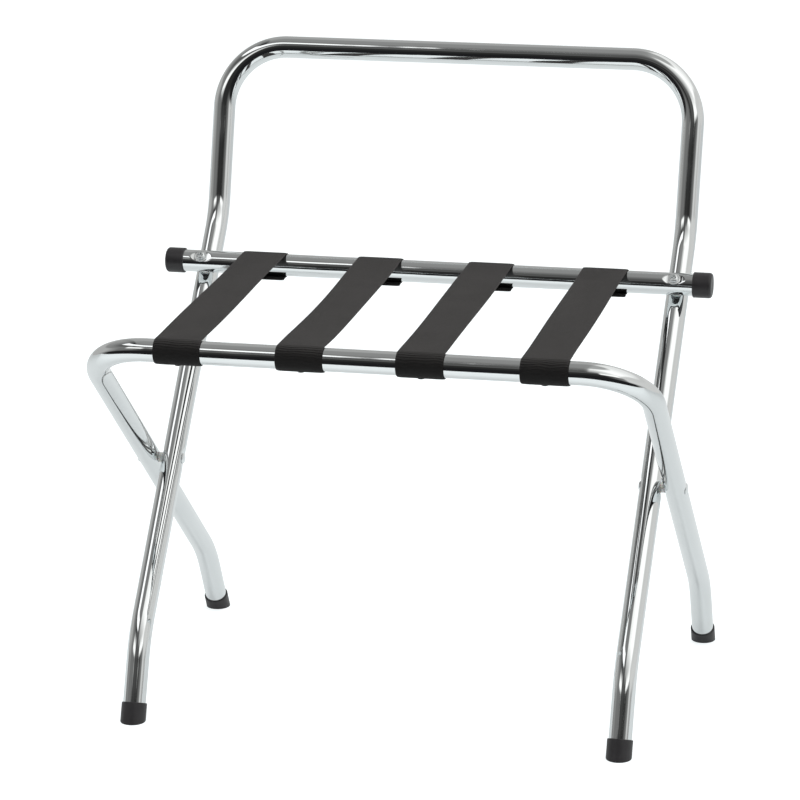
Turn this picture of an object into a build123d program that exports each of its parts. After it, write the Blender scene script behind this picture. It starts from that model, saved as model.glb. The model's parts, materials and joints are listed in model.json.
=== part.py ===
from build123d import *
from math import cos, radians, sin, tan
import os

# Folding luggage rack, standing open. Millimetres.
# X runs across the rack, Y from front to back, Z up from the floor.
# Two chrome tube hoops cross at a pair of pivots and four webbing straps span them.

# Tube
TUBE_R = 12.7
WALL = 1.3
KNEE_R = 140.0
ELBOW_R = 100.0

# Back hoop: half widths at the rail and at the feet, then its side profile as (y, z)
BACK_TOP_X = 279.4
BACK_FOOT_X = 274.2
BACK_TOP = (242.45, 694.2)
BACK_ELBOW = (188.55, 501.2)
BACK_KNEE = (-163.85, 88.8)
BACK_FOOT = (-196.85, 0.0)
BACK_CORNER_R = 73.0

# Seat hoop: half widths at the front bar and at the feet, then its side profile as (y, z)
SEAT_FRONT_X = 306.5
SEAT_FOOT_X = 300.1
SEAT_FRONT = (-246.45, 438.4)
SEAT_KNEE = (198.05, 84.4)
SEAT_FOOT = (244.75, 0.0)
SEAT_CORNER_R = 70.0

# Cross tube: centre as (y, z), half length of the bare tube and its end caps
CROSS = (118.25, 459.0)
CROSS_HALF = 317.3
CAP_R = 14.5
CAP_LENGTH = 21.5
CAP_END = 3.0

# Foot ferrules
FERRULE_R = 14.2
FERRULE_LENGTH = 21.0
BACK_TUBE_START = 7.0
SEAT_TUBE_START = 9.5

# Flats pressed into the tube where a fastener passes
FLAT = 11.1
FLAT_CUT_R = 9.0

# Pivots
PIN_R = 3.0
PIN_HOLE_R = 3.05
SPACER_R = 5.9
PLAY = 0.3

# Cross tube screws
SCREW_R = 2.5
SCREW_HOLE_R = 2.6
WASHER_R = 7.0
WASHER_THICK = 1.0
NUT_THICK = 4.0

# Straps
STRAP_X = (-201.0, -65.0, 65.7, 198.5)
STRAP_WIDTH = 52.0
STRAP_THICK = 1.5
STRAP_SAG = 2.0
STRAP_TAIL = 14.0
TACK_R = 1.6
TACK_HEAD_R = 4.0


def unit(start, end):
    """Direction from one (y, z) point to another."""
    return (Vector(0, *end) - Vector(0, *start)).normalized()


def crossing(a, a_dir, b, b_dir):
    """Point where two lines of the side view meet."""
    gap = Vector(0, *b) - Vector(0, *a)
    along = (gap.Y * b_dir.Z - gap.Z * b_dir.Y) / (a_dir.Y * b_dir.Z - a_dir.Z * b_dir.Y)
    return Vector(0, *a) + a_dir * along


BACK_LEG = unit(BACK_KNEE, BACK_ELBOW)
SEAT_LEG = unit(SEAT_KNEE, SEAT_FRONT)
PIVOT = crossing(BACK_KNEE, BACK_LEG, SEAT_KNEE, SEAT_LEG)
# Square to the back legs, pointing up and to the front
SCREW_DIR = Vector(0, -BACK_LEG.Z, BACK_LEG.Y)
CROSS_GAP = (Vector(0, *CROSS) - Vector(0, *BACK_ELBOW)).dot(SCREW_DIR)
BACK_SCREW = Vector(0, *CROSS) - SCREW_DIR * CROSS_GAP


def back_x(z):
    """Half width of the back hoop at height z; its legs draw in slightly toward the feet."""
    return BACK_FOOT_X + (BACK_TOP_X - BACK_FOOT_X) * z / BACK_TOP[1]


def seat_x(z):
    """Half width of the seat hoop at height z."""
    return SEAT_FOOT_X + (SEAT_FRONT_X - SEAT_FOOT_X) * z / SEAT_FRONT[1]


SCREW_X = back_x(BACK_SCREW.Z)
HALF_STEP = seat_x(PIVOT.Z) - back_x(PIVOT.Z)


def rounded(corner, before, after, radius):
    """Start, middle and end of the bend that rounds one corner of a tube."""
    to_start = (before - corner).normalized()
    to_end = (after - corner).normalized()
    half = radians(to_start.get_angle(to_end) / 2)
    inward = (to_start + to_end).normalized()
    start = corner + to_start * (radius / tan(half))
    end = corner + to_end * (radius / tan(half))
    middle = corner + inward * (radius / sin(half) - radius)
    return start, middle, end


def swept_tube(points, radii):
    """A hollow tube that follows straight runs joined by round bends."""
    with BuildPart() as tube:
        with BuildLine() as path:
            here = points[0]
            for i, radius in enumerate(radii, 1):
                start, middle, end = rounded(points[i], points[i - 1], points[i + 1], radius)
                Line(here, start)
                ThreePointArc(start, middle, end)
                here = end
            Line(here, points[-1])
        with BuildSketch(Plane(origin=points[0], z_dir=points[1] - points[0])):
            Circle(TUBE_R)
            Circle(TUBE_R - WALL, mode=Mode.SUBTRACT)
        sweep(path=path.wires()[0])
    return tube.part


def leg_points(side, profile, half_width):
    """Corners of one leg, from the floor up."""
    return [Vector(side * half_width(z), y, z) for y, z in profile]


def hoop_points(profile, half_width, start):
    """Corner points of a hoop, from the left tube end over to the right one."""
    left = leg_points(-1, profile, half_width)
    right = leg_points(1, profile, half_width)
    for leg in (left, right):
        leg[0] = leg[0] + (leg[1] - leg[0]).normalized() * start
    return left + right[::-1]


def flat_plates(place):
    """Plates that close the wall behind a pair of pressed flats."""
    with BuildPart() as plates:
        with Locations(place):
            with Locations((0, 0, 10.7), (0, 0, -10.7)):
                Box(22, 10, 1.8)
    return plates.part


def flat_cuts(place, hole_r):
    """What the pressed flats and the hole through them take away."""
    with BuildPart() as cuts:
        with Locations(place):
            Cylinder(hole_r, 40)
            with Locations((0, 0, FLAT + 2), (0, 0, -FLAT - 2)):
                Cylinder(FLAT_CUT_R, 4)
    return cuts.part


def pivot_place(half, side, leg):
    """Pivot axis through one leg: local z outward, local x along the leg."""
    return Plane(origin=(side * half, PIVOT.Y, PIVOT.Z), x_dir=leg, z_dir=(side, 0, 0)).location


def screw_place(point, side, along):
    """Cross tube screw axis: local z up and to the front."""
    return Plane(origin=(side * SCREW_X, point.Y, point.Z), x_dir=along, z_dir=SCREW_DIR).location


def tack_holes(y, z):
    """Holes for the strap tacks in the underside of a tube."""
    with BuildPart() as holes:
        with Locations(*[(x, y, z - TUBE_R) for x in STRAP_X]):
            Cylinder(TACK_R + 0.05, 6)
    return holes.part


def make_back_hoop():
    profile = (BACK_FOOT, BACK_KNEE, BACK_ELBOW, BACK_TOP)
    points = hoop_points(profile, back_x, BACK_TUBE_START)
    radii = (KNEE_R, ELBOW_R, BACK_CORNER_R, BACK_CORNER_R, ELBOW_R, KNEE_R)
    with BuildPart() as back_hoop:
        add(swept_tube(points, radii))
        for side in (-1, 1):
            pivot = pivot_place(back_x(PIVOT.Z), side, BACK_LEG)
            screw = screw_place(BACK_SCREW, side, BACK_LEG)
            add(flat_plates(pivot))
            add(flat_plates(screw))
            add(flat_cuts(pivot, PIN_HOLE_R), mode=Mode.SUBTRACT)
            add(flat_cuts(screw, SCREW_HOLE_R), mode=Mode.SUBTRACT)
    return back_hoop.part


def make_seat_hoop():
    profile = (SEAT_FOOT, SEAT_KNEE, SEAT_FRONT)
    points = hoop_points(profile, seat_x, SEAT_TUBE_START)
    radii = (KNEE_R, SEAT_CORNER_R, SEAT_CORNER_R, KNEE_R)
    with BuildPart() as seat_hoop:
        add(swept_tube(points, radii))
        for side in (-1, 1):
            pivot = pivot_place(seat_x(PIVOT.Z), side, SEAT_LEG)
            add(flat_plates(pivot))
            add(flat_cuts(pivot, PIN_HOLE_R), mode=Mode.SUBTRACT)
        add(tack_holes(*SEAT_FRONT), mode=Mode.SUBTRACT)
    return seat_hoop.part


def make_cross_tube():
    with BuildPart() as cross_tube:
        with BuildSketch(Plane.YZ.offset(-CROSS_HALF)):
            with Locations(CROSS):
                Circle(TUBE_R)
                Circle(TUBE_R - WALL, mode=Mode.SUBTRACT)
        extrude(amount=2 * CROSS_HALF)
        for side in (-1, 1):
            screw = screw_place(Vector(0, *CROSS), side, Vector(1, 0, 0))
            add(flat_plates(screw))
            add(flat_cuts(screw, SCREW_HOLE_R), mode=Mode.SUBTRACT)
        add(tack_holes(*CROSS), mode=Mode.SUBTRACT)
    return cross_tube.part


def make_cross_cap(side):
    """Plastic cup pushed over one end of the cross tube."""
    mouth = CROSS_HALF + CAP_END - CAP_LENGTH
    with BuildPart(Plane(origin=(side * mouth, *CROSS), z_dir=(side, 0, 0))) as cap:
        Cylinder(CAP_R, CAP_LENGTH, align=(Align.CENTER, Align.CENTER, Align.MIN))
        rims = cap.edges().filter_by(GeomType.CIRCLE).sort_by(Axis.X)
        fillet(rims[-1 if side > 0 else 0], 3.5)
        rims = cap.edges().filter_by(GeomType.CIRCLE).sort_by(Axis.X)
        fillet(rims[0 if side > 0 else -1], 0.8)
        Cylinder(
            TUBE_R,
            CAP_LENGTH - CAP_END,
            align=(Align.CENTER, Align.CENTER, Align.MIN),
            mode=Mode.SUBTRACT,
        )
    return cap.part


def make_ferrule(leg, tube_start):
    """Cup on the end of a leg, cut level so that it stands flat on the floor."""
    with BuildPart(Plane(origin=leg[0], z_dir=leg[1] - leg[0])) as ferrule:
        with Locations((0, 0, -15)):
            Cylinder(FERRULE_R, FERRULE_LENGTH + 15, align=(Align.CENTER, Align.CENTER, Align.MIN))
        fillet(ferrule.edges().filter_by(GeomType.CIRCLE).sort_by(Axis.Z)[-1], 0.9)
        with Locations((0, 0, tube_start)):
            Cylinder(TUBE_R, 40, align=(Align.CENTER, Align.CENTER, Align.MIN), mode=Mode.SUBTRACT)
        split(bisect_by=Plane.XY)
    return ferrule.part


def make_pivot_rivet(side):
    """Rivet with a domed head inside the back leg and a flat one outside the seat leg."""
    far = HALF_STEP + FLAT + PLAY
    origin = (side * back_x(PIVOT.Z), PIVOT.Y, PIVOT.Z)
    with BuildPart() as rivet:
        with BuildSketch(Plane(origin=origin, x_dir=(0, 1, 0), z_dir=(0, 0, -side))):
            with BuildLine():
                Line((0, -FLAT - 2.6), (2.6, -FLAT - 2.6))
                ThreePointArc((2.6, -FLAT - 2.6), (4.9, -FLAT - 2.0), (6.0, -FLAT - 0.7))
                Polyline((6.0, -FLAT - 0.7), (6.0, -FLAT), (PIN_R, -FLAT), (PIN_R, far), (6.5, far))
                Line((6.5, far), (6.5, far + 0.6))
                ThreePointArc((6.5, far + 0.6), (4.6, far + 1.7), (2.4, far + 2.1))
                Polyline((2.4, far + 2.1), (0, far + 2.1), (0, -FLAT - 2.6))
            make_face()
        revolve(axis=Axis(origin, (1, 0, 0)))
    return rivet.part


def make_pivot_spacer(side):
    """Round spacer that keeps the two legs apart."""
    length = HALF_STEP - 2 * FLAT - PLAY
    start = side * (back_x(PIVOT.Z) + FLAT)
    with BuildPart(Plane(origin=(start, PIVOT.Y, PIVOT.Z), z_dir=(side, 0, 0))) as spacer:
        Cylinder(SPACER_R, length, align=(Align.CENTER, Align.CENTER, Align.MIN))
        Cylinder(
            PIN_HOLE_R,
            length,
            align=(Align.CENTER, Align.CENTER, Align.MIN),
            mode=Mode.SUBTRACT,
        )
    return spacer.part


def ring(side, start, thick, outer, inner):
    """Flat ring on a cross tube screw; start is measured from the cross tube centre."""
    base = Vector(side * SCREW_X, *CROSS) + SCREW_DIR * start
    with BuildPart(Plane(origin=base, x_dir=(1, 0, 0), z_dir=SCREW_DIR)) as washer:
        Cylinder(outer, thick, align=(Align.CENTER, Align.CENTER, Align.MIN))
        Cylinder(inner, thick, align=(Align.CENTER, Align.CENTER, Align.MIN), mode=Mode.SUBTRACT)
    return washer.part


def make_cross_screw(side):
    """Pan head machine screw with a cross recess."""
    origin = Vector(side * SCREW_X, *CROSS)
    seat = FLAT + WASHER_THICK
    tip = -CROSS_GAP - FLAT - NUT_THICK - 2.0
    sketch_plane = Plane(origin=origin, x_dir=(1, 0, 0), z_dir=(0, -SCREW_DIR.Z, SCREW_DIR.Y))
    with BuildPart() as screw:
        with BuildSketch(sketch_plane):
            with BuildLine():
                Polyline((0, tip), (SCREW_R, tip), (SCREW_R, seat), (4.75, seat), (4.75, seat + 1.4))
                ThreePointArc((4.75, seat + 1.4), (4.0, seat + 2.6), (2.4, seat + 3.1))
                Polyline((2.4, seat + 3.1), (0, seat + 3.1), (0, tip))
            make_face()
        revolve(axis=Axis(origin, SCREW_DIR))
        top = Plane(origin=origin + SCREW_DIR * (seat + 3.1), x_dir=(1, 0, 0), z_dir=SCREW_DIR)
        with Locations(top.location):
            Box(5.2, 1.1, 3.2, mode=Mode.SUBTRACT)
            Box(1.1, 5.2, 3.2, mode=Mode.SUBTRACT)
    return screw.part


def make_cross_nut(side):
    """Hexagon nut behind the back leg."""
    base = Vector(side * SCREW_X, *CROSS) - SCREW_DIR * (CROSS_GAP + FLAT + NUT_THICK)
    with BuildPart(Plane(origin=base, x_dir=(1, 0, 0), z_dir=SCREW_DIR)) as nut:
        with BuildSketch(Plane(origin=base, x_dir=(1, 0, 0), z_dir=SCREW_DIR)):
            RegularPolygon(4.6, 6)
            Circle(SCREW_R + 0.05, mode=Mode.SUBTRACT)
        extrude(amount=NUT_THICK)
    return nut.part


def on_circle(centre, radius, angle):
    """Point of the side view on a circle, angle in degrees from +Y toward +Z."""
    return (centre[0] + radius * cos(radians(angle)), centre[1] + radius * sin(radians(angle)))


def sagging(start, end):
    """Middle point of a strap run that sags below the straight line."""
    return ((start[0] + end[0]) / 2, (start[1] + end[1]) / 2 - STRAP_SAG)


def make_strap(x):
    """Webbing band over the front bar and the cross tube, with its tails underneath."""
    front_in = TUBE_R + PLAY
    front_out = front_in + STRAP_THICK
    rear_in = TUBE_R
    rear_out = rear_in + STRAP_THICK
    top_front, top_rear = 90.7, 95.7
    fy, fz = SEAT_FRONT
    cy, cz = CROSS
    upper = on_circle(SEAT_FRONT, front_out, top_front), on_circle(CROSS, rear_out, top_rear)
    lower = on_circle(SEAT_FRONT, front_in, top_front), on_circle(CROSS, rear_in, top_rear)
    with BuildPart() as strap:
        with BuildSketch(Plane.YZ.offset(x - STRAP_WIDTH / 2)):
            with BuildLine():
                ThreePointArc(upper[0], sagging(*upper), upper[1])
                ThreePointArc(upper[1], on_circle(CROSS, rear_out, 0), (cy, cz - rear_out))
                Polyline(
                    (cy, cz - rear_out),
                    (cy - STRAP_TAIL, cz - rear_out),
                    (cy - STRAP_TAIL, cz - rear_in),
                    (cy, cz - rear_in),
                )
                ThreePointArc((cy, cz - rear_in), on_circle(CROSS, rear_in, 0), lower[1])
                ThreePointArc(lower[1], sagging(*lower), lower[0])
                ThreePointArc(lower[0], on_circle(SEAT_FRONT, front_in, 180), (fy, fz - front_in))
                Polyline(
                    (fy, fz - front_in),
                    (fy + STRAP_TAIL, fz - front_in),
                    (fy + STRAP_TAIL, fz - front_out),
                    (fy, fz - front_out),
                )
                ThreePointArc((fy, fz - front_out), on_circle(SEAT_FRONT, front_out, 180), upper[0])
            make_face()
        extrude(amount=STRAP_WIDTH)
        with Locations((x, fy, fz - front_out), (x, cy, cz - rear_out)):
            Cylinder(TACK_R + PLAY, 6, mode=Mode.SUBTRACT)
    return strap.part


def make_tack(x, centre, seat):
    """Pan head tack up into the underside of a tube; seat is the depth of its head below it."""
    y, z = centre
    with BuildPart() as tack:
        with Locations((x, y, z - seat)):
            Cylinder(TACK_HEAD_R, 0.8, align=(Align.CENTER, Align.CENTER, Align.MAX))
            fillet(tack.edges().filter_by(GeomType.CIRCLE).sort_by(Axis.Z)[0], 0.5)
            Cylinder(TACK_R, seat - 10.0, align=(Align.CENTER, Align.CENTER, Align.MIN))
    return tack.part


def make_all():
    """Every piece of the rack under its own name."""
    pieces = {
        "back_hoop": make_back_hoop(),
        "seat_hoop": make_seat_hoop(),
        "cross_tube": make_cross_tube(),
    }
    between = CROSS_GAP - 2 * FLAT
    for name, side in (("left", -1), ("right", 1)):
        pieces[f"cross_tube_cap_{name}"] = make_cross_cap(side)
        pieces[f"cross_tube_screw_{name}"] = make_cross_screw(side)
        pieces[f"cross_tube_washer_{name}"] = ring(side, FLAT, WASHER_THICK, WASHER_R, SCREW_HOLE_R)
        pieces[f"cross_tube_spacer_{name}"] = ring(side, -FLAT - between, between, 6.0, SCREW_HOLE_R)
        pieces[f"cross_tube_nut_{name}"] = make_cross_nut(side)
        pieces[f"pivot_rivet_{name}"] = make_pivot_rivet(side)
        pieces[f"pivot_spacer_{name}"] = make_pivot_spacer(side)
        front_leg = leg_points(side, (BACK_FOOT, BACK_KNEE), back_x)
        rear_leg = leg_points(side, (SEAT_FOOT, SEAT_KNEE), seat_x)
        pieces[f"front_foot_{name}"] = make_ferrule(front_leg, BACK_TUBE_START)
        pieces[f"rear_foot_{name}"] = make_ferrule(rear_leg, SEAT_TUBE_START)
    for number, x in enumerate(STRAP_X, 1):
        pieces[f"strap_{number}"] = make_strap(x)
        pieces[f"strap_tack_front_{number}"] = make_tack(x, SEAT_FRONT, TUBE_R + 2 * PLAY + STRAP_THICK)
        pieces[f"strap_tack_rear_{number}"] = make_tack(x, CROSS, TUBE_R + STRAP_THICK)
    return pieces


os.makedirs("parts", exist_ok=True)
for name, piece in make_all().items():
    piece.label = name
    export_step(piece, f"parts/{name}.step")
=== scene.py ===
# %% [markdown]
# # A folding luggage rack
# The rack is two bent chrome tubes that cross like an X and turn on a pair of rivets. Four
# strips of dark webbing join the front bar to a straight cross tube at the back, and the
# back tube carries on upwards as a rail that stops a suitcase sliding against the wall.

# %% Load the measured frame
import json
import math
import bpy
import numpy as np
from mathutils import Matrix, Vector


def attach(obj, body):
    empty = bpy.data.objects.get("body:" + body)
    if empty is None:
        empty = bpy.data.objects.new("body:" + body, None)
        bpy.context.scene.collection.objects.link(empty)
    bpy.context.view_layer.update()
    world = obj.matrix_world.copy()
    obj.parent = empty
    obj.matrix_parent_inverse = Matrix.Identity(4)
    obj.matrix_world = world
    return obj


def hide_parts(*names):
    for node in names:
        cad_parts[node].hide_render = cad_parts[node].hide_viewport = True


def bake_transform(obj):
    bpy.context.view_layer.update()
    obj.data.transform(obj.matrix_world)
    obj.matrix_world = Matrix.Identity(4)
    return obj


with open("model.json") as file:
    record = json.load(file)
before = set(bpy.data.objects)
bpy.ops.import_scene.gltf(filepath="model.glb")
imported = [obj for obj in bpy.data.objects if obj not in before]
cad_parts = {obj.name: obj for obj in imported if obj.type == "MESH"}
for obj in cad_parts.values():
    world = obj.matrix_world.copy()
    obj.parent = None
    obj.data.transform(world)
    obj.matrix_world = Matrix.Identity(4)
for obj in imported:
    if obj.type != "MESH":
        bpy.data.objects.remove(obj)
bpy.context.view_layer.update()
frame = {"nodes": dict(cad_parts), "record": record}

# %% [markdown]
# ## The sizes of the real tube
# Everything is bent from one inch tube. A bent tube is easiest to describe as a workshop
# does: the corners its middle line would have if it were bent sharply, and how round each
# bend is. The numbers repeat the measured model's own route, because a mesh box alone
# cannot tell where a bend starts.

# %% Tube routes and sizes
TUBE_R = 0.0127
KNEE_R, ELBOW_R = 0.140, 0.100
BACK_SIDE = [(-0.19685, 0.0), (-0.16385, 0.0888), (0.18855, 0.5012), (0.24245, 0.6942)]
SEAT_SIDE = [(0.24475, 0.0), (0.19805, 0.0844), (-0.24645, 0.4384)]
CROSS = np.array([0.0, 0.11825, 0.4590])
CROSS_HALF = 0.3173
BACK_CORNER_R, SEAT_CORNER_R = 0.073, 0.070
BACK_LIFT, SEAT_LIFT = 0.007, 0.0095
BEND_STEP, CROSS_STEP = 0.0022, 0.0012
FLAT = 0.0111
STRAP_X = (-0.201, -0.065, 0.0657, 0.1985)
X = np.array([1.0, 0.0, 0.0])


def unit(v):
    """A vector divided by its own length."""
    v = np.asarray(v, float)
    return v / np.linalg.norm(v)


def side_point(pair, x=0.0):
    """A point of the side view moved out to x."""
    return np.array([x, pair[0], pair[1]])


def back_x(z):
    """Half width of the back hoop at height z: its legs draw in by 5 mm toward the feet."""
    return 0.2742 + 0.0052 * z / BACK_SIDE[-1][1]


def seat_x(z):
    """Half width of the seat hoop at height z."""
    return 0.3001 + 0.0064 * z / SEAT_SIDE[-1][1]


back_leg = unit(side_point(BACK_SIDE[2]) - side_point(BACK_SIDE[1]))
seat_leg = unit(side_point(SEAT_SIDE[2]) - side_point(SEAT_SIDE[1]))
screw_dir = np.array([0.0, -back_leg[2], back_leg[1]])
cross_gap = (CROSS - side_point(BACK_SIDE[2])) @ screw_dir
back_screw = CROSS - screw_dir * cross_gap
pivot = np.array(frame["record"]["behaviour"]["joints"][0]["pos_m"])
BACK_X, SEAT_X, SCREW_X = back_x(pivot[2]), seat_x(pivot[2]), back_x(back_screw[2])
print("pivot", pivot.round(4), "cross tube stands off the legs by", round(cross_gap * 1000, 1), "mm")

# %% [markdown]
# ## Surfaces from grids
# A turned, bent or woven piece is a grid of points: one direction runs along it and the
# other goes round it. Numpy works out all the points at once, and one helper turns any such
# grid into a closed mesh. A modelling tool could do the same by hand, but a formula keeps
# the tube perfectly round, which chrome shows at once.

# %% One mesh maker for every grid
def skin(name, grid, uv=None):
    """Quads join each point to the next in its row and column; rows are rings that close on
    themselves, and a fan of triangles closes the first ring and the last. The volume, one
    sixth of the sum of a . (b x c) over all triangles, says whether the faces point out."""
    grid = np.asarray(grid, float)
    rows, cols = grid.shape[:2]
    here = np.arange(rows * cols).reshape(rows, cols)
    right = np.roll(here, -1, axis=1)
    points = np.vstack([grid.reshape(-1, 3), grid[0].mean(0), grid[-1].mean(0)])
    quads = np.stack([here[:-1], right[:-1], right[1:], here[1:]], -1).reshape(-1, 4)
    first = np.stack([right[0], here[0], np.full(cols, rows * cols)], -1)
    last = np.stack([here[-1], right[-1], np.full(cols, rows * cols + 1)], -1)
    tris = np.vstack([quads[:, [0, 1, 2]], quads[:, [0, 2, 3]], first, last])
    a, b, c = (points[tris[:, k]] for k in range(3))
    if (a * np.cross(b, c)).sum() < 0:
        quads, first, last = quads[:, ::-1], first[:, ::-1], last[:, ::-1]
    mesh = bpy.data.meshes.new(name)
    mesh.from_pydata(points.tolist(), [], quads.tolist() + first.tolist() + last.tolist())
    if uv is not None:
        flat = np.vstack([uv.reshape(-1, 2), uv[0].mean(0), uv[-1].mean(0)])
        corner = np.zeros(len(mesh.loops), np.int32)
        mesh.loops.foreach_get("vertex_index", corner)
        mesh.uv_layers.new(name="UVMap").data.foreach_set("uv", flat[corner].ravel())
    mesh.shade_smooth()
    mesh.set_sharp_from_angle(angle=math.radians(50))
    mesh.update()
    piece = bpy.data.objects.new(name, mesh)
    bpy.context.collection.objects.link(piece)
    return piece


def rounded_path(corners, radii, step):
    """Straight runs joined by arcs, then points a step apart. Each arc starts radius / tan(half
    the inside angle) before its corner; a point on it is centre + radius * (cos t * out +
    sin t * ahead)."""
    corners = np.asarray(corners, float)
    runs = [corners[:1]]
    for corner, before, after, radius in zip(corners[1:-1], corners[:-2], corners[2:], radii):
        back, ahead = unit(before - corner), unit(after - corner)
        half = math.acos(np.clip(back @ ahead, -1, 1)) / 2
        start = corner + back * radius / math.tan(half)
        centre = corner + unit(back + ahead) * radius / math.sin(half)
        t = np.linspace(0, math.pi - 2 * half, 90)[:, None]
        runs.append(centre + radius * (np.cos(t) * unit(start - centre) - np.sin(t) * back))
    runs.append(corners[-1:])
    line = np.vstack(runs)
    length = np.r_[0, np.cumsum(np.linalg.norm(np.diff(line, axis=0), axis=1))]
    even = np.linspace(0, length[-1], max(2, int(length[-1] / step)))
    return np.stack([np.interp(even, length, axis) for axis in line.T], -1)


def carried_rings(path, radius, around):
    """A circle carried along a path. Each ring keeps the last ring's side direction, less its
    part along the new tangent, so the tube never twists."""
    tangent = np.gradient(path, axis=0)
    tangent /= np.linalg.norm(tangent, axis=1)[:, None]
    side = np.zeros_like(path)
    last = unit(np.cross(tangent[0], X)) if abs(tangent[0] @ X) < 0.9 else np.array([0.0, 1.0, 0.0])
    for i, t in enumerate(tangent):
        last = unit(last - t * (last @ t))
        side[i] = last
    other = np.cross(tangent, side)
    turn = np.linspace(0, 2 * math.pi, around, endpoint=False)[None, :, None]
    return path[:, None] + radius * (np.cos(turn) * side[:, None] + np.sin(turn) * other[:, None])


# %% [markdown]
# ## Chrome
# Polished chrome has almost no colour of its own: it shows the room. What tells the eye
# that it is a real plated tube is a reflection that wavers very slightly, and a polish that
# is a little duller in patches where hands and cases rub. Both come from one noise group
# that the other finishes use as well, each with its own scale and strength.

# %% A shared group for rubbed and uneven surfaces
def new_group(name, inputs, outputs):
    """An empty shader group with named sockets."""
    group = bpy.data.node_groups.new(name, "ShaderNodeTree")
    for label, kind, value in inputs:
        socket = group.interface.new_socket(name=label, in_out="INPUT", socket_type=kind)
        if value is not None:
            socket.default_value = value
    for label, kind in outputs:
        group.interface.new_socket(name=label, in_out="OUTPUT", socket_type=kind)
    return group, group.nodes.new("NodeGroupInput"), group.nodes.new("NodeGroupOutput")


def math_node(tree, kind, a, b=None, c=None):
    """One Math node whose inputs are links or plain numbers."""
    node = tree.nodes.new("ShaderNodeMath")
    node.operation = kind
    for socket, value in zip(node.inputs, (a, b, c)):
        if value is None:
            continue
        if isinstance(value, (int, float)):
            socket.default_value = value
        else:
            tree.links.new(value, socket)
    return node.outputs[0]


wear, wear_in, wear_out = new_group(
    "rubbed_surface",
    [("Vector", "NodeSocketVector", None), ("Patch Scale", "NodeSocketFloat", 12.0),
     ("Grain Scale", "NodeSocketFloat", 400.0)],
    [("Patches", "NodeSocketFloat"), ("Grain", "NodeSocketFloat"), ("Waves", "NodeSocketFloat")],
)
for label, scale, detail, rough, target in (
    ("Patch Scale", 1.0, 4.0, 0.6, "Patches"), ("Grain Scale", 1.0, 6.0, 0.65, "Grain"),
    ("Patch Scale", 2.5, 0.0, 0.5, "Waves"),
):
    noise = wear.nodes.new("ShaderNodeTexNoise")
    noise.inputs["Detail"].default_value = detail
    noise.inputs["Roughness"].default_value = rough
    wear.links.new(wear_in.outputs["Vector"], noise.inputs["Vector"])
    wear.links.new(math_node(wear, "MULTIPLY", wear_in.outputs[label], scale), noise.inputs["Scale"])
    wear.links.new(noise.outputs["Fac"], wear_out.inputs[target])


def new_finish(name, **plain):
    """A material with one Principled shader and its uniform values set on its own sockets."""
    finish = bpy.data.materials.new(name)
    finish.use_nodes = True
    shader = finish.node_tree.nodes["Principled BSDF"]
    for label, value in plain.items():
        shader.inputs[label.replace("_", " ")].default_value = value
    return finish, finish.node_tree, shader


def add_wear(tree, patch, grain):
    """The shared group on Object coordinates."""
    where = tree.nodes.new("ShaderNodeTexCoord").outputs["Object"]
    node = tree.nodes.new("ShaderNodeGroup")
    node.node_tree = wear
    node.inputs["Patch Scale"].default_value = patch
    node.inputs["Grain Scale"].default_value = grain
    tree.links.new(where, node.inputs["Vector"])
    return node


def spread(tree, value, low, high, start=0.3, end=0.7):
    """Stretch a 0 to 1 pattern so that start becomes low and end becomes high."""
    node = tree.nodes.new("ShaderNodeMapRange")
    for label, number in (("From Min", start), ("From Max", end), ("To Min", low), ("To Max", high)):
        node.inputs[label].default_value = number
    tree.links.new(value, node.inputs["Value"])
    return node.outputs["Result"]


def mixed(tree, factor, first, second):
    """A colour between two colours."""
    node = tree.nodes.new("ShaderNodeMix")
    node.data_type = "RGBA"
    node.inputs["A"].default_value = (*first, 1)
    node.inputs["B"].default_value = (*second, 1)
    tree.links.new(factor, node.inputs["Factor"])
    return node.outputs["Result"]


def bumped(tree, height, distance):
    """A normal from a height pattern, distance in metres."""
    node = tree.nodes.new("ShaderNodeBump")
    node.inputs["Strength"].default_value = 1.0
    node.inputs["Distance"].default_value = distance
    tree.links.new(height, node.inputs["Height"])
    return node.outputs["Normal"]


def rubbed_finish(name, wear_scales, colours, rough, bump=None, **plain):
    """A finish whose colour runs between two colours over the patches. rough gives the
    pattern that roughness follows and its two ends, and bump a pattern and its height."""
    finish, tree, shader = new_finish(name, **plain)
    rub = add_wear(tree, *wear_scales)
    tree.links.new(mixed(tree, rub.outputs["Patches"], *colours), shader.inputs["Base Color"])
    tree.links.new(spread(tree, rub.outputs[rough[0]], *rough[1:]), shader.inputs["Roughness"])
    if bump:
        tree.links.new(bumped(tree, rub.outputs[bump[0]], bump[1]), shader.inputs["Normal"])
    return finish


# %% Chrome plate and zinc plate
chrome = rubbed_finish("chrome_plate", (9.0, 700.0), [(0.76, 0.785, 0.79), (0.82, 0.84, 0.845)],
                       ("Patches", 0.030, 0.075), ("Waves", 0.00045), Metallic=1.0)
zinc = rubbed_finish("zinc_plate", (160.0, 1500.0), [(0.80, 0.83, 0.84), (0.93, 0.95, 0.95)],
                     ("Grain", 0.30, 0.46), ("Grain", 0.00004), Metallic=1.0)

# %% [markdown]
# ## Rubber, nylon and paint
# The caps and feet are soft moulded rubber: dark, a little dusty, with a broad dull shine.
# Its colour varies by a few percent and its surface has a fine moulded grain. The small
# washers between the legs are nylon, pale and slightly waxy. The tacks are painted black.

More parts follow.
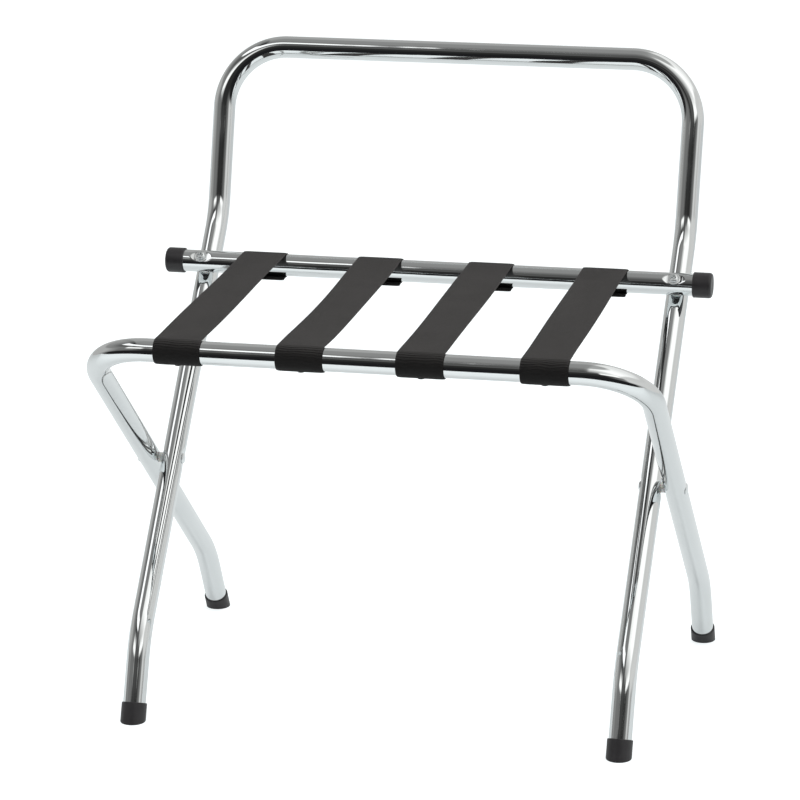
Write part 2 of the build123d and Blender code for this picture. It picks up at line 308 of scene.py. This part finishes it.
# %% Rubber, nylon and black paint
rubber = rubbed_finish("black_rubber", (60.0, 2200.0), [(0.020, 0.019, 0.021), (0.040, 0.037, 0.040)],
                       ("Patches", 0.34, 0.52), ("Grain", 0.00006), Specular_IOR_Level=0.45)
nylon = rubbed_finish("pale_nylon", (120.0, 2500.0), [(0.74, 0.74, 0.72), (0.84, 0.84, 0.82)],
                      ("Grain", 0.32, 0.46), Subsurface_Weight=0.12, Subsurface_Scale=0.002)
paint = rubbed_finish("black_paint", (200.0, 2500.0), [(0.018, 0.018, 0.018), (0.05, 0.048, 0.046)],
                      ("Grain", 0.28, 0.5))

# %% [markdown]
# ## Webbing
# The straps are tightly woven polyester webbing, near black with a warm cast. The weave
# runs in fine ribs across the strap, with warp threads over and under them. The pattern has
# to turn with the strap over the bars, so it reads the strap's own UV map, laid out in
# millimetres: across the strap, then along it. Ribs and threads are two waves multiplied,
# so each crossing is a small bump. The selvedge at each edge is denser and rubs lighter.
# Where the strap turns over the front bar it wrinkles across, and the wrinkles are also
# painted lighter and darker in its colour as painted shade. The wraps round both bars are
# painted darker, as painted shade where little light reaches them.

# %% The weave
SELVEDGE_MM, FRONT_WRAP_MM, REAR_WRAP_MM = (23.6, 25.6), (38.0, 57.0), (425.0, 440.0)
CREASE_MM, CREASE_RADIANS_PER_MM = ((30.0, 44.0), (55.0, 61.0)), 2.1


def between(tree, value, rise, fall):
    """1 between two edges: it climbs over the rise and drops again over the fall."""
    up = spread(tree, value, 0.0, 1.0, *rise)
    return math_node(tree, "MULTIPLY", up, spread(tree, value, 1.0, 0.0, *fall))


weave, weave_in, weave_out = new_group(
    "webbing_weave",
    [("Across", "NodeSocketFloat", 0.0), ("Along", "NodeSocketFloat", 0.0),
     ("Thread mm", "NodeSocketFloat", 1.1), ("Rib mm", "NodeSocketFloat", 0.9)],
    [("Height", "NodeSocketFloat"), ("Crossing", "NodeSocketFloat")],
)
thread = math_node(weave, "DIVIDE", weave_in.outputs["Across"], weave_in.outputs["Thread mm"])
rib = math_node(weave, "DIVIDE", weave_in.outputs["Along"], weave_in.outputs["Rib mm"])
over = math_node(weave, "SINE", math_node(weave, "MULTIPLY", thread, math.pi))
under = math_node(weave, "SINE", math_node(weave, "MULTIPLY", rib, math.pi))
crossing = math_node(weave, "MULTIPLY", over, under)
ribs = math_node(weave, "ABSOLUTE", under)
weave.links.new(math_node(weave, "MULTIPLY_ADD", crossing, 0.35, ribs), weave_out.inputs["Height"])
weave.links.new(math_node(weave, "MULTIPLY_ADD", crossing, 0.5, 0.5), weave_out.inputs["Crossing"])

webbing, tree, shader = new_finish(
    "dark_webbing", Sheen_Weight=0.03, Sheen_Roughness=0.4, Specular_IOR_Level=0.16)
split = tree.nodes.new("ShaderNodeSeparateXYZ")
tree.links.new(tree.nodes.new("ShaderNodeUVMap").outputs["UV"], split.inputs[0])
cloth = tree.nodes.new("ShaderNodeGroup")
cloth.node_tree = weave
tree.links.new(split.outputs["X"], cloth.inputs["Across"])
tree.links.new(split.outputs["Y"], cloth.inputs["Along"])
rub = add_wear(tree, 26.0, 900.0)
side, lengthwise = split.outputs["X"], split.outputs["Y"]
edge = spread(tree, math_node(tree, "ABSOLUTE", side), 0.0, 1.0, *SELVEDGE_MM)
# Painted shade: the colour is darkened on the wrap round the front bar and under the rear bar.
fade = math_node(tree, "MULTIPLY", spread(tree, lengthwise, 0.18, 0.81, *FRONT_WRAP_MM),
                 spread(tree, lengthwise, 1.0, 0.3, *REAR_WRAP_MM))
crease = between(tree, lengthwise, *CREASE_MM)
waver = math_node(tree, "MULTIPLY", lengthwise, CREASE_RADIANS_PER_MM)
wrinkle = math_node(tree, "SINE", math_node(tree, "MULTIPLY_ADD", rub.outputs["Waves"], 8.0, waver))
folds = math_node(tree, "MULTIPLY", crease, wrinkle)
# Painted shade: across the crease the colour also goes lighter and darker with each wrinkle.
fade = math_node(tree, "MULTIPLY", fade, math_node(tree, "MULTIPLY_ADD", folds, 0.32, 1.0))
tone = math_node(tree, "MULTIPLY", edge, 0.12)
shares = ((rub.outputs["Grain"], 0.25), (rub.outputs["Patches"], 0.75), (cloth.outputs["Crossing"], 0.30))
for pattern, share in shares:
    tone = math_node(tree, "MULTIPLY_ADD", pattern, share, tone)
tone = math_node(tree, "MULTIPLY", fade, tone)
yarn = mixed(tree, tone, (0.010, 0.0095, 0.0095), (0.076, 0.0725, 0.0715))
tree.links.new(yarn, shader.inputs["Base Color"])
tree.links.new(spread(tree, rub.outputs["Patches"], 0.62, 0.82), shader.inputs["Roughness"])
relief = math_node(tree, "MULTIPLY_ADD", folds, 1.6, cloth.outputs["Height"])
tree.links.new(bumped(tree, relief, 0.00022), shader.inputs["Normal"])
print("finishes", [m.name for m in (chrome, zinc, rubber, nylon, paint, webbing)])

# %% [markdown]
# ## The bent tubes
# Each hoop is one length of tube bent round. The circle is carried along the middle line,
# and where a rivet or screw passes, a press has flattened the wall into an eye-shaped flat.
# Pressing is a formula as well: near the fastener no point may stand further out than the
# flat, and that limit rises smoothly back to the full radius along the tube.

# %% Press flats into a tube
def press(grid, at, along, out, reach, fade):
    """height = (point - at) . out is cut down to a limit. The limit is flat within reach of
    `at` along the tube and climbs to the full radius over fade, as 3t^2 - 2t^3."""
    rel = grid - at
    run = np.abs(rel @ along)
    height = rel @ out
    t = np.clip((run - reach) / fade, 0, 1)
    limit = FLAT + (TUBE_R + 0.0001 - FLAT) * t * t * (3 - 2 * t)
    close = (run < reach + fade) & (np.abs(height) < 1.5 * TUBE_R)
    close &= np.linalg.norm(rel - (rel @ along)[..., None] * along, axis=-1) < 1.5 * TUBE_R
    return grid - np.where(close, np.maximum(height - limit, 0), 0)[..., None] * out


def place(piece, body, slot, finish, *nodes):
    """Give a piece its finish, its body and the measured nodes it stands for."""
    piece.data.materials.append(finish)
    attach(piece, body)
    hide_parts(*nodes)
    print(piece.name, "rides on", body, "with", len(piece.data.polygons), "faces")
    return piece


def leg_corners(side, half_width, s):
    """Corners of one leg's middle line, from the floor up; s is -1 for left and 1 for right."""
    return [side_point(p, s * half_width(p[1])) for p in side]


def hoop_corners(side, half_width, lift):
    """Corners of the middle line from the left tube end over to the right one."""
    legs = [leg_corners(side, half_width, s) for s in (-1, 1)]
    for leg in legs:
        leg[0] = leg[0] + unit(leg[1] - leg[0]) * lift
    return legs[0] + legs[1][::-1]


# %% Back hoop, seat hoop and cross tube
back_bends = (KNEE_R, ELBOW_R, BACK_CORNER_R, BACK_CORNER_R, ELBOW_R, KNEE_R)
seat_bends = (KNEE_R, SEAT_CORNER_R, SEAT_CORNER_R, KNEE_R)
back_route = rounded_path(hoop_corners(BACK_SIDE, back_x, BACK_LIFT), back_bends, BEND_STEP)
seat_route = rounded_path(hoop_corners(SEAT_SIDE, seat_x, SEAT_LIFT), seat_bends, BEND_STEP)
cross_route = rounded_path([CROSS - X * CROSS_HALF, CROSS + X * CROSS_HALF], (), CROSS_STEP)
back = carried_rings(back_route, TUBE_R, 64)
seat = carried_rings(seat_route, TUBE_R, 64)
cross = carried_rings(cross_route, TUBE_R, 96)
PIVOT_FLAT, LEG_FLAT, CROSS_FLAT = (0.006, 0.006), (0.012, 0.012), (0.005, 0.010)
for s in (-1, 1):
    for way in (-1, 1):
        back = press(back, pivot + X * s * BACK_X, back_leg, X * way, *PIVOT_FLAT)
        seat = press(seat, pivot + X * s * SEAT_X, seat_leg, X * way, *PIVOT_FLAT)
        back = press(back, back_screw + X * s * SCREW_X, back_leg, screw_dir * way, *LEG_FLAT)
        cross = press(cross, CROSS + X * s * SCREW_X, X, screw_dir * way, *CROSS_FLAT)
place(skin("back_tube", back), "back_frame", "chrome_tube", chrome, "back_hoop")
place(skin("seat_tube", seat), "seat_frame", "chrome_tube", chrome, "seat_hoop")
place(skin("rear_cross_tube", cross), "back_frame", "chrome_tube", chrome, "cross_tube")

# %% [markdown]
# ## Turned pieces
# Caps, washers, rivets and screws are all turned shapes: a profile of radius against
# height, spun round an axis. The same corner-rounding that bends a tube softens a profile,
# because a moulded or stamped edge is never sharp and its highlight gives its size away.

# %% Spin a profile
RECESS, RECESS_R = 0.0022, 0.004


def turned(name, origin, axis, profile, radii, around=64, recess=None):
    """Point = origin + axis * h + r * (cos a * u + sin a * v), for each (r, h) of the rounded
    profile. A recess lowers h by a depth that depends on the place across the axis."""
    axis = unit(axis)
    u = unit(np.cross(axis, [0.3, 0.5, 0.8])) if abs(axis @ X) > 0.5 else X
    v = np.cross(axis, u)
    line = rounded_path(profile, radii, 0.00022 if recess else 0.0005)
    a = np.linspace(0, 2 * math.pi, around, endpoint=False)
    r, h = line[:, 0, None], line[:, 1, None] + 0 * a
    if recess:
        head = (h > line[:, 1].max() - RECESS) & (r < RECESS_R)
        h = h - recess(r * np.cos(a), r * np.sin(a)) * head
    spin = np.cos(a)[:, None] * u + np.sin(a)[:, None] * v
    return skin(name, np.asarray(origin) + h[..., None] * axis + r[..., None] * spin)


# %% Cross tube caps and pivot spacers
CAP_R, CAP_LENGTH, CAP_END, PLAY = 0.0145, 0.0215, 0.003, 0.0003
gap = SEAT_X - BACK_X - 2 * FLAT - PLAY
for word, s in (("left", -1), ("right", 1)):
    mouth = CROSS + X * s * (CROSS_HALF + CAP_END - CAP_LENGTH)
    cap = turned(f"end_cap_{word}", mouth, X * s,
                 [(0.0126, 0.0012), (0.0126, 0), (CAP_R, 0), (CAP_R, CAP_LENGTH), (0.0002, CAP_LENGTH)],
                 (0.0003, 0.0007, 0.0034), 96)
    place(cap, "back_frame", "black_cap", rubber, f"cross_tube_cap_{word}")
    spacer = turned(f"leg_spacer_{word}", pivot + X * s * (BACK_X + FLAT), X * s,
                    [(0.0031, 0), (0.0059, 0), (0.0059, gap), (0.0031, gap)], (0.0005, 0.0005))
    place(spacer, "back_frame", "pale_spacer", nylon, f"pivot_spacer_{word}")

# %% [markdown]
# ## Feet
# Each foot is a rubber cup on a slanting tube end, cut level underneath so that it stands
# flat. Its wall is a cylinder along the tube whose lower edge lies where that cylinder meets
# the floor, so the height at which each point of the wall starts has its own formula.

# %% Feet
def foot_cup(name, foot, knee, radius=0.0142, length=0.021, soft=0.0011, rim=0.0009):
    """Wall point = foot + axis * h + radius * ring. The floor is met where h = -radius *
    ring_z / axis_z. The sole edge is a quarter circle of size soft, and the rim another."""
    axis = unit(knee - foot)
    v = np.cross(axis, X)
    a = np.linspace(0, 2 * math.pi, 96, endpoint=False)
    ring = np.cos(a)[:, None] * unit(np.cross(v, axis)) + np.sin(a)[:, None] * unit(v)
    floor = lambda r: -r * ring[:, 2] / axis[2]
    q = np.linspace(0, math.pi / 2, 7)
    sole = [(radius - soft * (1 - math.sin(t)), soft * (1 - math.cos(t))) for t in q]
    inner = sole[0][0] * 0.7
    rows = [foot + axis * floor(inner)[:, None] + inner * ring]
    rows += [foot + axis * (floor(r) + h)[:, None] + r * ring for r, h in sole]
    wall = np.linspace(0, 1, 14)[1:]
    low, top = floor(radius) + soft, length - rim
    rows += [foot + axis * (low + (top - low) * t)[:, None] + radius * ring for t in wall]
    lip = [(radius - rim * (1 - math.cos(t)), top + rim * math.sin(t)) for t in q[1:]]
    lip += [(TUBE_R, length), (TUBE_R - 0.0002, length - 0.001)]
    rows += [foot + axis * h + r * ring for r, h in lip]
    return skin(name, np.array(rows))


for word, s in (("left", -1), ("right", 1)):
    front = foot_cup(f"front_cup_{word}", *leg_corners(BACK_SIDE[:2], back_x, s))
    place(front, "back_frame", "black_cap", rubber, f"front_foot_{word}")
    rear = foot_cup(f"rear_cup_{word}", *leg_corners(SEAT_SIDE[:2], seat_x, s))
    place(rear, "seat_frame", "black_cap", rubber, f"rear_foot_{word}")

# %% [markdown]
# ## Rivets and screws
# The legs turn on rivets with domed heads. The cross tube is held by zinc plated pan head
# screws over wide washers. The driver recess is pressed into the head as a dip in its
# height: two crossed slots with sloping walls, which is simpler and cleaner than cutting
# boxes out of the dome.

# %% Fasteners
def slot_arm(a, b):
    """1 inside one arm of the slot, falling to 0 over its side walls and its ends."""
    return np.clip((0.0010 - np.abs(a)) / 0.0004, 0, 1) * np.clip((0.0030 - np.abs(b)) / 0.0005, 0, 1)


def cross_recess(x, y):
    """Depth of a cross slot: the deeper of two crossed arms."""
    return RECESS * np.maximum(slot_arm(x, y), slot_arm(y, x))


WASHER_R, WASHER_T = 0.007, 0.001
far = SEAT_X - BACK_X + FLAT + PLAY
seat_h = FLAT + WASHER_T
tip = -cross_gap - FLAT - 0.006
for word, s in (("left", -1), ("right", 1)):
    rivet = turned(f"rivet_{word}", pivot + X * s * BACK_X, X * s,
                   [(0.0002, -FLAT - 0.0026), (0.0038, -FLAT - 0.0026),
                    (0.006, -FLAT - 0.0013), (0.006, -FLAT),
                    (0.003, -FLAT), (0.003, far), (0.0065, far), (0.0065, far + 0.0009),
                    (0.0040, far + 0.0021), (0.0002, far + 0.0021)],
                   (0.003, 0.0014, 0.0002, 0.0001, 0.0001, 0.0002, 0.0005, 0.003))
    place(rivet, "back_frame", "plated_fastener", zinc, f"pivot_rivet_{word}")
    base = CROSS + X * s * SCREW_X
    washer = turned(f"washer_{word}", base, screw_dir,
                    [(0.0026, FLAT), (WASHER_R, FLAT), (WASHER_R, seat_h), (0.0026, seat_h)],
                    (0.0003, 0.0004), 72)
    place(washer, "back_frame", "plated_fastener", zinc, f"cross_tube_washer_{word}")
    screw = turned(f"screw_{word}", base, screw_dir,
                   [(0.0002, tip), (0.0025, tip), (0.0025, seat_h),
                    (0.00475, seat_h), (0.00475, seat_h + 0.0022),
                    (0.0031, seat_h + 0.0031), (0.0002, seat_h + 0.0031)],
                   (0.0004, 0.0001, 0.0003, 0.0012, 0.002), 128, cross_recess)
    place(screw, "back_frame", "plated_fastener", zinc, f"cross_tube_screw_{word}")

# %% [markdown]
# ## Straps
# A strap is a strip 52 mm wide that comes from under the front bar, round its front, back
# to the cross tube with a slight sag, over it and underneath. It is a rounded thin section
# carried along that line in the side view. New webbing under tension is never a perfect
# plane: it cups a little, and one edge pulls a touch lower than the other. So each strap has
# its own sag and its own small wave, sits a little askew, and is a shade narrower where it
# turns over the front bar. The last few millimetres of both tails curl down.

# %% The line of a strap in the side view
FRONT = side_point(SEAT_SIDE[2])
STRAP_T, STRAP_W, TAIL = 0.0015, 0.052, 0.014
SAGS = (0.0006, 0.0040, 0.0016, 0.0010)
SKEWS = (0.0016, 0.0002, 0.0007, 0.0013)
CURL = np.array([0.0050, -0.0012])
CUP, WAVE, NARROWING = 0.0008, 0.0007, 0.010
WRAP_R, EASE, REAR_SHARE = 0.0138, 0.08, 0.86


def strap_line(sag, step=0.0022):
    """Arcs of circles round the two bars, a run between them that sags as 4 * sag * t * (1 - t),
    and under each bar a straight tail whose last 5 mm curl down a little."""
    rf, rc = TUBE_R + 0.0003 + STRAP_T / 2, TUBE_R + STRAP_T / 2 + 0.00005
    arc = lambda c, r, a0, a1: np.stack([c[1] + r * np.cos(np.radians(np.linspace(a0, a1, 60))),
                                         c[2] + r * np.sin(np.radians(np.linspace(a0, a1, 60)))], -1)
    front = arc(FRONT, rf, 270, 90.7)
    rear = arc(CROSS, rc, 95.7, -90)
    t = np.linspace(0, 1, 160)[1:-1, None]
    run = front[-1] + (rear[0] - front[-1]) * t - np.array([0, 4 * sag]) * t * (1 - t)
    flat_tail = np.array([TAIL - 0.0053, 0.0])
    head = np.vstack([front[0] + flat_tail + CURL, front[0] + flat_tail])
    end = np.vstack([rear[-1] - flat_tail, rear[-1] - flat_tail + CURL * [-1, 1]])
    line = np.vstack([head, front, run, rear, end])
    length = np.r_[0, np.cumsum(np.linalg.norm(np.diff(line, axis=0), axis=1))]
    even = np.linspace(0, length[-1], int(length[-1] / step))
    return np.stack([np.interp(even, length, line[:, k]) for k in (0, 1)], -1), even


def strap_section(columns=34):
    """A flat oval: x runs out and back across the width as half a cosine, and the thickness
    is a superellipse, (1 - |x / half|^12)^(1/2), so that only the selvedges are rounded."""
    t = np.linspace(0, 2 * math.pi, 2 * columns, endpoint=False)
    x = np.sign(np.cos(t)) * np.abs(np.cos(t)) ** 0.7
    thick = np.sign(np.sin(t)) * np.sqrt(np.clip(1 - np.abs(x) ** 12, 0, 1))
    return x * STRAP_W / 2 * 0.999, thick * STRAP_T / 2 * 0.98


# %% Make the four straps
section_x, section_t = strap_section()
half = STRAP_W / 2
for number, (centre, sag, skew) in enumerate(zip(STRAP_X, SAGS, SKEWS), 1):
    line, along = strap_line(sag)
    tangent = np.gradient(line, axis=0)
    tangent /= np.linalg.norm(tangent, axis=1)[:, None]
    out = np.stack([-tangent[:, 1], tangent[:, 0]], -1)
    total = float(along[-1])
    wrap = (TAIL + math.pi * WRAP_R) / total
    t = (along / total)[:, None]
    free = np.clip((t - wrap) / EASE, 0, 1) * np.clip((REAR_SHARE - t) / EASE, 0, 1)
    cup = -CUP * free * (1 - (section_x[None] / half) ** 2)
    wave = WAVE * free * np.sin(9 * t + 1.7 * number) * section_x[None] / half
    narrow = 1 - NARROWING * np.clip((wrap * 0.9 - t) / 0.1, 0, 1)
    offset = section_t[None] + cup + wave
    y = line[:, :1] + out[:, :1] * offset
    z = line[:, 1:] + out[:, 1:] * offset
    x = centre + skew * (1 - 2 * t) + section_x[None] * narrow
    uv = np.stack([1000 * (section_x[None] + 0 * t), 1000 * (along[:, None] + 0 * section_x[None])], -1)
    strap = skin(f"webbing_{number}", np.stack([x, y, z], -1), uv)
    strap.data.materials.append(webbing)
    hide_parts(f"strap_{number}")
    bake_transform(strap)
    print("strap", number, "is", round(total * 1000, 1), "mm long")

# %% [markdown]
# ## Tacks
# Under each bar a flat-headed tack goes through the end of the strap into the tube. Only a
# low black disc shows, so the piece is a turned head with a short shank.

# %% Flat tack heads
ENDS = (("front", FRONT, 0.0149, "seat_frame"), ("rear", CROSS, 0.0143, "back_frame"))
TACK_TOP = 0.0106
for number, centre in enumerate(STRAP_X, 1):
    for word, bar, drop, body in ENDS:
        tack = turned(f"tack_{word}_{number}", (centre, bar[1], bar[2]), (0, 0, -1),
                      [(0.0002, TACK_TOP), (0.0015, TACK_TOP), (0.0015, drop),
                       (0.0034, drop), (0.0034, drop + 0.0002), (0.0002, drop + 0.0004)],
                      (0.0001, 0.0001, 0.0001, 0.0002), 40)
        place(tack, body, "black_tack", paint, f"strap_tack_{word}_{number}")

# %% [markdown]
# ## Pieces that stay as they were measured
# The nuts and the discs inside the joints are small and already the right shape, so they
# only get a finish.

# %% Finish the small pieces
def refinish(node, finish):
    """Put a finish in every slot of a measured node."""
    piece = frame["nodes"][node]
    if not piece.data.materials:
        piece.data.materials.append(finish)
    for slot in piece.material_slots:
        slot.material = finish


for word in ("left", "right"):
    refinish(f"cross_tube_nut_{word}", zinc)
    refinish(f"cross_tube_spacer_{word}", nylon)

# %% [markdown]
# ## The studio
# Chrome needs a room to reflect. The floor is a bright white sheet that shows as the pale
# lower half of every level tube. It stops a metre in front of the rack, and the dark beyond
# it is the dark band across the middle of each bar. The room above is grey. It is darkest
# straight ahead of the rack, where the camera stands, and low down in front, with a white
# panel either side, a paler wall on the right and white panels higher up. Upright tubes show
# those as stripes. The camera itself sees a plain pale backdrop instead. The room is painted
# on the world by direction, so no big meshes are needed.

# %% Floor
FLOOR_FRONT, FAR = -1, 40
floor_mesh = bpy.data.meshes.new("studio_floor")
floor_corners = [(-FAR, FLOOR_FRONT, 0), (FAR, FLOOR_FRONT, 0), (FAR, FAR, 0), (-FAR, FAR, 0)]
floor_mesh.from_pydata(floor_corners, [], [(0, 1, 2, 3)])
floor = bpy.data.objects.new("studio_floor", floor_mesh)
bpy.context.collection.objects.link(floor)
white_sheet, tree, shader = new_finish(
    "white_sheet", Base_Color=(0.50, 0.52, 0.525, 1), Roughness=0.9, Specular_IOR_Level=0.1,
    Emission_Color=(0.95, 0.99, 1.0, 1))
split = tree.nodes.new("ShaderNodeSeparateXYZ")
tree.links.new(tree.nodes.new("ShaderNodeTexCoord").outputs["Object"], split.inputs[0])
near_front = spread(tree, split.outputs["Y"], 0.56, 0.35, -0.45, -0.15)
direct = tree.nodes.new("ShaderNodeLightPath").outputs["Is Camera Ray"]
strength = math_node(tree, "MULTIPLY_ADD", direct, 0.45, near_front)
tree.links.new(strength, shader.inputs["Emission Strength"])
floor_mesh.materials.append(white_sheet)

# %% Room
world = bpy.data.worlds.new("studio")
bpy.context.scene.world = world
world.use_nodes = True
tree = world.node_tree
tree.nodes.clear()
view = tree.nodes.new("ShaderNodeTexCoord").outputs["Generated"]
split = tree.nodes.new("ShaderNodeSeparateXYZ")
tree.links.new(view, split.inputs[0])
across, back_to_front, height = (split.outputs[axis] for axis in "XYZ")
heading = math_node(tree, "ARCTAN2", across, math_node(tree, "MULTIPLY", back_to_front, -1.0))
ring = spread(tree, heading, 0.0, 1.0, -math.pi, math.pi)


def tone_ramp(value, stops):
    """A grey ramp over a 0 to 1 value, from (position, tone) pairs."""
    node = tree.nodes.new("ShaderNodeValToRGB")
    ramp = node.color_ramp
    last = len(stops) - 1
    for number, (spot, tone) in enumerate(stops):
        if number in (0, last):
            stop = ramp.elements[-1 if number else 0]
        else:
            stop = ramp.elements.new(spot)
        stop.position = spot
        stop.color = (tone, tone * 0.995, tone * 0.975, 1)
    tree.links.new(value, node.inputs["Fac"])
    return node.outputs["Color"]


def blended(factor, first, second):
    """One colour link faded into another."""
    node = tree.nodes.new("ShaderNodeMix")
    node.data_type = "RGBA"
    tree.links.new(factor, node.inputs["Factor"])
    for socket, value in (("A", first), ("B", second)):
        if isinstance(value, tuple):
            node.inputs[socket].default_value = (*value, 1)
        else:
            tree.links.new(value, node.inputs[socket])
    return node.outputs["Result"]


# Tone of the lower walls and the upper walls by heading in degrees, and of the ceiling by
# the sideways part of the direction.
LOW = [(-180, 0.5), (-90, 0.5), (-60, 0.2), (-35, 0.2), (-15, 0.03), (30, 0.03), (60, 0.25),
       (66, 0.75), (180, 0.7)]
WALLS = [(-180, 0.48), (-110, 0.30), (-52, 0.22), (-47, 1.3), (-22, 1.3), (-18, 0.12), (21, 0.09),
         (25, 1.3), (55, 1.3), (60, 0.72), (180, 0.66)]
CEILING = [(-1, 0.12), (-0.56, 0.12), (-0.53, 0.02), (-0.47, 0.02), (-0.44, 0.24), (-0.06, 0.28),
           (0.02, 0.42), (0.10, 1.3), (0.76, 1.3), (0.82, 0.72), (1, 0.68)]
DARK, MID_GREY = (0.015, 0.015, 0.016), (0.30, 0.30, 0.295)
PALE, WHITE = (0.62, 0.62, 0.61), (1.4, 1.4, 1.4)
low, walls = (tone_ramp(ring, [((a + 180) / 360, t) for a, t in stops]) for stops in (LOW, WALLS))
ceiling_stops = [((x + 1) / 2, t) for x, t in CEILING]
ceiling = tone_ramp(spread(tree, across, 0.0, 1.0, -1.0, 1.0), ceiling_stops)
band = between(tree, height, (0.67, 0.69), (0.80, 0.82))
ahead = math_node(tree, "MULTIPLY", spread(tree, back_to_front, 1.0, 0.0, -0.1, 0.0),
                  spread(tree, across, 1.0, 0.0, -0.235, -0.215))
panel = math_node(tree, "MULTIPLY", band, ahead)
ceiling = blended(spread(tree, back_to_front, 0.95, 0.0, -0.96, -0.36), ceiling, DARK)
ceiling = blended(spread(tree, back_to_front, 0.0, 0.5, -0.2, 0.5), ceiling, PALE)
ceiling = blended(spread(tree, height, 0.0, 0.85, 0.89, 0.94), ceiling, MID_GREY)
walls = blended(spread(tree, height, 0.0, 1.0, 0.34, 0.40), low, walls)
colours = blended(spread(tree, height, 0.0, 1.0, 0.46, 0.60), walls, ceiling)
colours = blended(panel, colours, WHITE)
skirting = math_node(tree, "MULTIPLY", spread(tree, height, 1.0, 0.0, 0.03, 0.14),
                     spread(tree, back_to_front, 1.0, 0.0, -0.3, 0.2))
colours = blended(skirting, colours, DARK)
room = tree.nodes.new("ShaderNodeBackground")
tree.links.new(colours, room.inputs["Color"])
plain = tree.nodes.new("ShaderNodeBackground")
plain.inputs["Color"].default_value = (1.1, 1.1, 1.1, 1)
seen = tree.nodes.new("ShaderNodeMixShader")
direct = tree.nodes.new("ShaderNodeLightPath").outputs["Is Camera Ray"]
tree.links.new(direct, seen.inputs["Fac"])
tree.links.new(room.outputs[0], seen.inputs[1])
tree.links.new(plain.outputs[0], seen.inputs[2])
tree.links.new(seen.outputs[0], tree.nodes.new("ShaderNodeOutputWorld").inputs["Surface"])


# %% Soft lights
def soft_light(name, at, aim, size, power):
    """A square area light at one point, turned to face another."""
    lamp = bpy.data.lights.new(name, "AREA")
    lamp.size = size
    lamp.energy = power
    obj = bpy.data.objects.new(name, lamp)
    obj.location = at
    obj.visible_glossy = False
    obj.rotation_euler = (Vector(aim) - Vector(at)).to_track_quat("-Z", "Y").to_euler()
    bpy.context.collection.objects.link(obj)


soft_light("left_softbox", (-1.3, -0.6, 2.6), (0, 0, 0.4), 1.1, 14)
soft_light("top_softbox", (0.4, 0.9, 3.0), (0, 0, 0.4), 1.6, 30)

# %% [markdown]
# ## The camera
# A long lens from a little above seat height, standing to the right of the rack's middle
# line, keeps the two sides nearly parallel.

# %% Camera
lens = bpy.data.cameras.new("camera")
lens.sensor_width = 36
lens.lens = 167.4
camera = bpy.data.objects.new("camera", lens)
camera.location = (0.907, -3.963, 1.351)
camera.rotation_euler = (math.radians(90 - 14.01), 0.0, math.radians(13.09))
bpy.context.collection.objects.link(camera)
bpy.context.scene.camera = camera
bpy.context.scene.view_settings.view_transform = "Standard"
